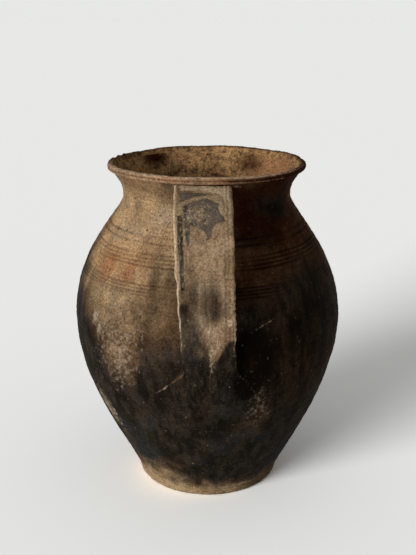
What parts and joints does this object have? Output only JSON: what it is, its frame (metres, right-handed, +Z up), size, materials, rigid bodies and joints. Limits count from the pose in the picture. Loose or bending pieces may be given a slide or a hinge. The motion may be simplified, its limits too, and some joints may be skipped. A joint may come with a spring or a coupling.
{
  "type": "pottery jug",
  "caption": "Round-bellied unglazed earthenware jug with a flared wide mouth, a squared lip band, incised shoulder bands and one broad strap handle.",
  "frame": {"origin": "middle of the foot's underside, on the plane that the jug stands on", "axes": "+Z up along the jug's turning axis, -Y towards the handle, +X to the right when the handle faces the viewer"},
  "size_m": [0.2268, 0.2433, 0.28],
  "materials": {
    "bare_foot_clay": "matte unglazed, dusty",
    "stained_clay": "matte unglazed, smoke-stained over pale clay",
    "sooted_clay": "matte unglazed, sooted with a slight rubbed sheen",
    "smoked_clay": "matte unglazed, smoked",
    "reddened_clay": "matte unglazed",
    "khaki_clay": "matte unglazed",
    "lip_clay": "matte unglazed, worn",
    "strap_clay": "matte unglazed, handled",
    "luting_clay": "matte unglazed, rough"
  },
  "bodies": {
    "root": {"foot_disc": "bare_foot_clay", "lower_wall": "stained_clay", "belly_wall": "sooted_clay", "shoulder_wall": "smoked_clay", "banded_wall": "reddened_clay", "neck_collar": "khaki_clay", "lip_band": "lip_clay", "handle_strap": "strap_clay", "upper_roll": "luting_clay", "lower_roll": "luting_clay"}
  },
  "joints": []
}
